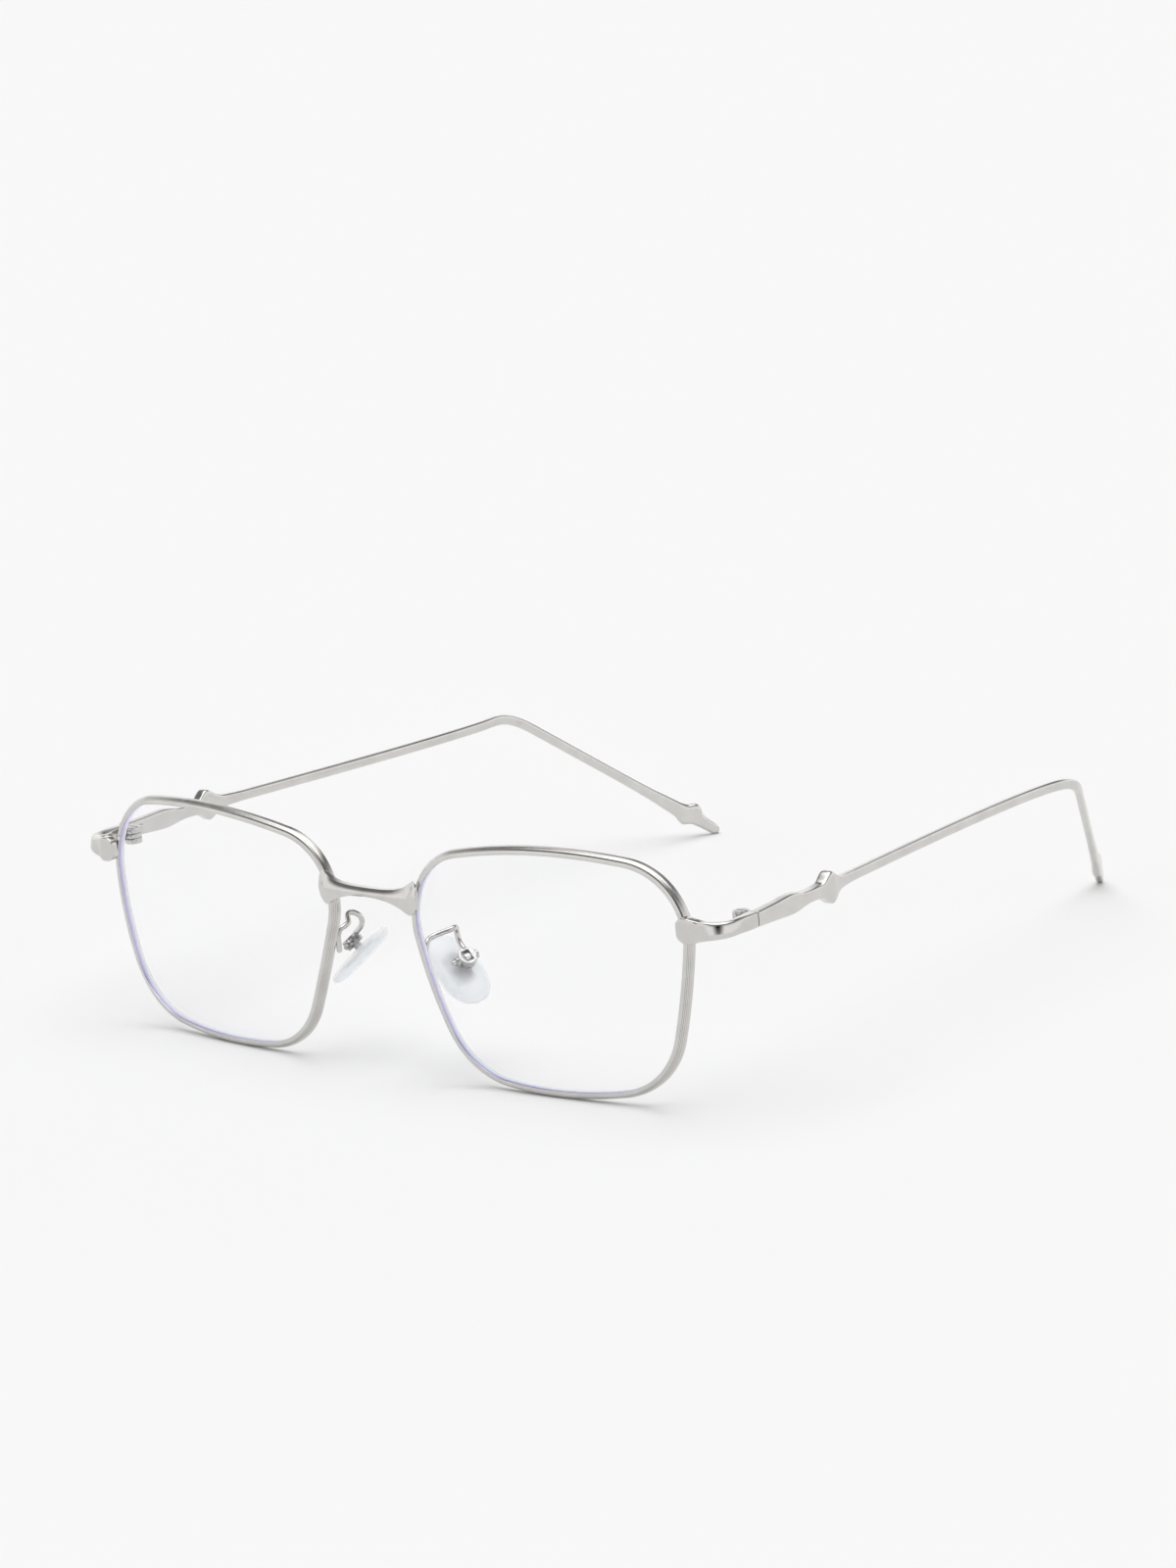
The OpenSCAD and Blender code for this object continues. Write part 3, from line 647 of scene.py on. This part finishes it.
def temple_path():
    """Centre line of the left temple, each point's distance along it, and its length."""
    bend_in = BEND_CORNER + BEND_REACH * unit(ROD_BOW - BEND_CORNER)
    bend_out = BEND_CORNER + BEND_REACH * unit(TIP_POINT - BEND_CORNER)
    path = np.concatenate([line(SPLIT_POINT, KNOT_POINT), bow(KNOT_POINT, ROD_BOW, bend_in),
                           bow(bend_in, BEND_CORNER, bend_out), line(bend_out, TIP_POINT)])
    along = np.concatenate([[0], np.cumsum(np.linalg.norm(np.diff(path, axis=0), axis=1))])
    length = along[-1]
    even = np.linspace(0, length, round(length / PATH_STEP))
    path = np.stack([np.interp(even, along, path[:, k]) for k in range(3)], -1)
    return smooth_path(path) + [0, FRONT_Y, 0], even, length


def make_temple(side):
    path, along, length = temple_path()
    tail = [(length - d, *reach) for d, *reach in TAIL_PROFILE]
    reach = smooth_table(list(FRONT_PROFILE) + tail, along)
    forward = tangents(path)
    outward = np.cross(forward, [0, 0, 1])
    outward /= np.linalg.norm(outward, axis=1)[:, None]
    up = np.cross(outward, forward)
    power = smooth_table(SECTION_POWER, along)[:, 0]
    rings = []
    for i in range(len(path)):
        high, low, out, inner = reach[i]
        across, rise = superellipse(TEMPLE_SIDES, power[i])
        sideways = np.where(across > 0, across * out, across * inner)
        heights = np.where(rise > 0, rise * high, rise * low)
        rings.append(path[i] + np.outer(sideways, outward[i]) + np.outer(heights, up[i]))
    rings = np.array(rings)
    faces = tube_faces(len(rings), TEMPLE_SIDES, closed=False)
    piece = make_piece(f"temple_{side}_arm", on_side(rings.reshape(-1, 3), side), sided(flip(faces), side),
                       TEMPLE_METAL, f"temple_{side}", [f"temple_{side}"], sharp=50)
    soften(piece, END_ROUNDING, END_EDGE_ANGLE)


# ---------------------------------------------------------------- nose pads and their arms
# A pad is a stack of layers. Each is its outline drawn in towards the middle, and the power sets how
# blunt that makes its rim.
PAD_SWELL = 0.42
PAD_LAYERS = 25
PAD_MIDDLE = np.array([-0.3, 0])
PAD_STEP = 0.3


def pad_axes():
    """Rotation of the left pad."""
    rx, ry, rz = (Matrix.Rotation(math.radians(a), 3, axis) for a, axis in zip(PAD_TURNS, "XYZ"))
    return np.array(rz @ ry @ rx)


def make_nose_pad(side):
    flat = arc_outline(PAD_CORNERS, PAD_SIDES, 0, PAD_STEP)
    rings = []
    for angle in np.linspace(-math.pi / 2, math.pi / 2, PAD_LAYERS)[1:-1]:
        height = 0.5 * PAD_THICKNESS * math.sin(angle)
        ring = PAD_MIDDLE + (flat - PAD_MIDDLE) * math.cos(angle) ** PAD_SWELL
        rings.append(np.column_stack([ring, np.full(len(ring), height)]))
    points = np.concatenate(rings) @ pad_axes().T + PAD_CENTRE
    faces = tube_faces(len(rings), len(flat), closed=False)
    piece = make_piece(f"nose_pad_{side}_soft", on_side(points, side), sided(faces, side), SILICONE,
                       f"pad_{side}", [f"nose_pad_{side}"], sharp=60)


# Centre line of the left pad arm, from its foot on the eyewire to the pad box
ARM_POINTS = [
    (9.4, 0.9, 18.5), (9.4, 0.9, 19.9), (9.45, 1, 21.3), (9.35, 1.5, 22.2), (9.15, 2.4, 22.55),
    (9.3, 3.4, 22.75), (9.9, 4.15, 23), (10.8, 5, 23.35), (11.25, 5.8, 23.55), (11.1, 6.65, 23.5),
    (10.6, 7.35, 23), (10.3, 7.7, 22.2), (10.4, 7.75, 21.3), (11, 7.6, 20.4), (11.9, 7.4, 19.6),
]
ARM_RADIUS = 0.45
ARM_SIDES = 20
ARM_SPAN_RINGS = 8
# The wire's ends are rounded: they lose this share of the radius, which fades at this rate a ring
ARM_END_LOSS, ARM_END_RATE = 0.35, 1.6
# The wire's sections are squared up to this direction, which the wire never follows
ARM_REFERENCE = [0, 1, 0.3]


def make_pad_arm(side):
    path = catmull(ARM_POINTS, ARM_SPAN_RINGS) + [0, FRONT_Y, 0]
    forward = tangents(path)
    across = np.cross(ARM_REFERENCE, forward)
    across /= np.linalg.norm(across, axis=1)[:, None]
    up = np.cross(forward, across)
    angles = 2 * math.pi * np.arange(ARM_SIDES) / ARM_SIDES
    count = len(path)
    rings = []
    for i in range(count):
        end = min(i, count - 1 - i)
        radius = ARM_RADIUS * (1 - ARM_END_LOSS * math.exp(-end * ARM_END_RATE))
        circle = np.outer(np.cos(angles), across[i]) + np.outer(np.sin(angles), up[i])
        rings.append(path[i] + radius * circle)
    points = np.concatenate(rings)
    faces = tube_faces(count, ARM_SIDES, closed=False)
    make_piece(f"pad_arm_{side}_wire", on_side(points, side), sided(faces, side), SMALL_METAL, "front",
               [f"pad_arm_{side}"], sharp=60)


# ---------------------------------------------------------------- small CAD pieces
# Points closer than this are joined before the edges above this angle are softened
WELD_DISTANCE = 0.002
CAD_EDGE_ANGLE = 35


def finish_cad_node(name, material, bevel):
    """Keeps a CAD node's shape, softens its edges a little and gives it its metal."""
    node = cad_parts[name]
    for k in range(len(node.data.materials)):
        node.data.materials[k] = material
    if not node.data.materials:
        node.data.materials.append(material)
    weld = node.modifiers.new("weld", "WELD")
    weld.merge_threshold = WELD_DISTANCE * MM
    soften(node, bevel, CAD_EDGE_ANGLE)


# Nodes kept on each side, with their metal and the width of their softened edges
SMALL_NODES = [
    ("rim_lock_upper", SMALL_METAL, 0.08),
    ("rim_lock_lower", SMALL_METAL, 0.08),
    ("rim_lock_screw", SCREW_METAL, 0.05),
    ("hinge_front_leaf", SMALL_METAL, 0.08),
    ("hinge_temple_leaf", SMALL_METAL, 0.08),
    ("hinge_screw", SCREW_METAL, 0.05),
    ("pad_box", BOX_SHADED_METAL, 0.12),
    ("pad_screw", SCREW_METAL, 0.05),
    ("pad_core", CORE_PALE_METAL, 0.06),
]


# ---------------------------------------------------------------- stage
# Half the floor's side, in metres, and its colour
FLOOR_REACH = 12.0
FLOOR_COLOUR = (0.9, 0.9, 0.9, 1)


def make_floor():
    mesh = bpy.data.meshes.new("floor")
    corners = [(x * FLOOR_REACH, y * FLOOR_REACH, 0) for x, y in ((-1, -1), (1, -1), (1, 1), (-1, 1))]
    mesh.from_pydata(corners, [], [(0, 1, 2, 3)])
    floor = bpy.data.objects.new("floor", mesh)
    bpy.context.scene.collection.objects.link(floor)
    material, tree = new_material("studio_floor")
    shader = add(tree, "ShaderNodeBsdfDiffuse", Color=FLOOR_COLOUR)
    set_surface(tree, shader.outputs["BSDF"])
    mesh.materials.append(material)


# The studio round the glasses. The metal picks up the dark gap between the lit backdrop and the ceiling
# light, and a dark stand at the photographer's place. The stops are (cosine, brightness), the cosine of
# the angle from straight up and from the stand.
GAP_STOPS = [(0.3, 0.5), (0.46, 0.3), (0.6, 0.09), (0.72, 0.08), (0.82, 0.5), (0.9, 1.0)]
STAND_STOPS = [(0.91, 1.0), (0.965, 0.6), (0.987, 0.25), (0.995, 0.03)]
# The stand is taller than wide: two dark discs, these degrees above its direction
STAND_RISE = (0, 7)
WORLD_STRENGTH = 2.26


def direction_share(tree, direction):
    """How far the looked-at direction agrees with this one, from 0 behind to 1 straight along it."""
    coordinates = tree.nodes.new("ShaderNodeTexCoord")
    dot = tree.nodes.new("ShaderNodeVectorMath")
    dot.operation = "DOT_PRODUCT"
    dot.inputs[1].default_value = tuple(direction)
    tree.links.new(coordinates.outputs["Generated"], dot.inputs[0])
    half = tree.nodes.new("ShaderNodeMath")
    half.operation = "MULTIPLY_ADD"
    half.inputs[1].default_value = 0.5
    half.inputs[2].default_value = 0.5
    tree.links.new(dot.outputs["Value"], half.inputs[0])
    return half.outputs["Value"]


def cosine_ramp(tree, direction, stops):
    """Brightness round a direction, from stops of (cosine of the angle from it, brightness)."""
    return ramp(tree, direction_share(tree, direction), *[(0.5 + 0.5 * c, value) for c, value in stops])


def multiply(tree, first, second):
    node = tree.nodes.new("ShaderNodeMath")
    node.operation = "MULTIPLY"
    tree.links.new(first, node.inputs[0])
    tree.links.new(second, node.inputs[1])
    return node.outputs["Value"]


def make_world():
    world = bpy.data.worlds.new("studio")
    bpy.context.scene.world = world
    world.use_nodes = True
    tree = world.node_tree
    tree.nodes.clear()
    light = cosine_ramp(tree, (0, 0, 1), GAP_STOPS)
    for rise in STAND_RISE:
        disc = cosine_ramp(tree, view_back(CAMERA_ELEVATION + math.radians(rise)), STAND_STOPS)
        light = multiply(tree, light, disc)
    background = add(tree, "ShaderNodeBackground", Strength=WORLD_STRENGTH)
    tree.links.new(light, background.inputs["Color"])
    output = tree.nodes.new("ShaderNodeOutputWorld")
    tree.links.new(background.outputs["Background"], output.inputs["Surface"])


CAMERA_AZIMUTH, CAMERA_ELEVATION, CAMERA_ROLL = (math.radians(a) for a in (41.07, 14.07, -5.0))
# Its place and its clipping distances are in metres, its lens and its sensor in millimetres
CAMERA_PLACE = (0.60068, -0.63495 + FRONT_Y * MM, 0.26333)
CAMERA_NEAR, CAMERA_FAR = 0.05, 60
CAMERA_LENS, CAMERA_SENSOR = 130.22, 36


def view_back(elevation):
    """Direction towards the camera's side of the studio, at this elevation."""
    a, level = CAMERA_AZIMUTH, math.cos(elevation)
    return Vector((math.sin(a) * level, -math.cos(a) * level, math.sin(elevation)))


def camera_axes():
    """Right, up and back of the camera."""
    a, r = CAMERA_AZIMUTH, CAMERA_ROLL
    back = view_back(CAMERA_ELEVATION)
    right = Vector((math.cos(a), math.sin(a), 0))
    up = back.cross(right)
    return math.cos(r) * right + math.sin(r) * up, math.cos(r) * up - math.sin(r) * right, back


def make_camera():
    data = bpy.data.cameras.new("camera")
    data.lens = CAMERA_LENS
    data.sensor_width = CAMERA_SENSOR
    data.clip_start, data.clip_end = CAMERA_NEAR, CAMERA_FAR
    camera = bpy.data.objects.new("camera", data)
    camera.matrix_world = Matrix.Translation(CAMERA_PLACE) @ Matrix(camera_axes()).transposed().to_4x4()
    bpy.context.scene.collection.objects.link(camera)
    bpy.context.scene.camera = camera


# ---------------------------------------------------------------- everything
make_camera()
make_bridge()
for side in ("left", "right"):
    make_rim(side)
    make_lens(side)
    make_endpiece(side)
    make_temple(side)
    make_nose_pad(side)
    make_pad_arm(side)
    for name, material, bevel in SMALL_NODES:
        finish_cad_node(f"{name}_{side}", material, bevel)
make_floor()
make_world()
bpy.context.scene.view_settings.view_transform = "Standard"
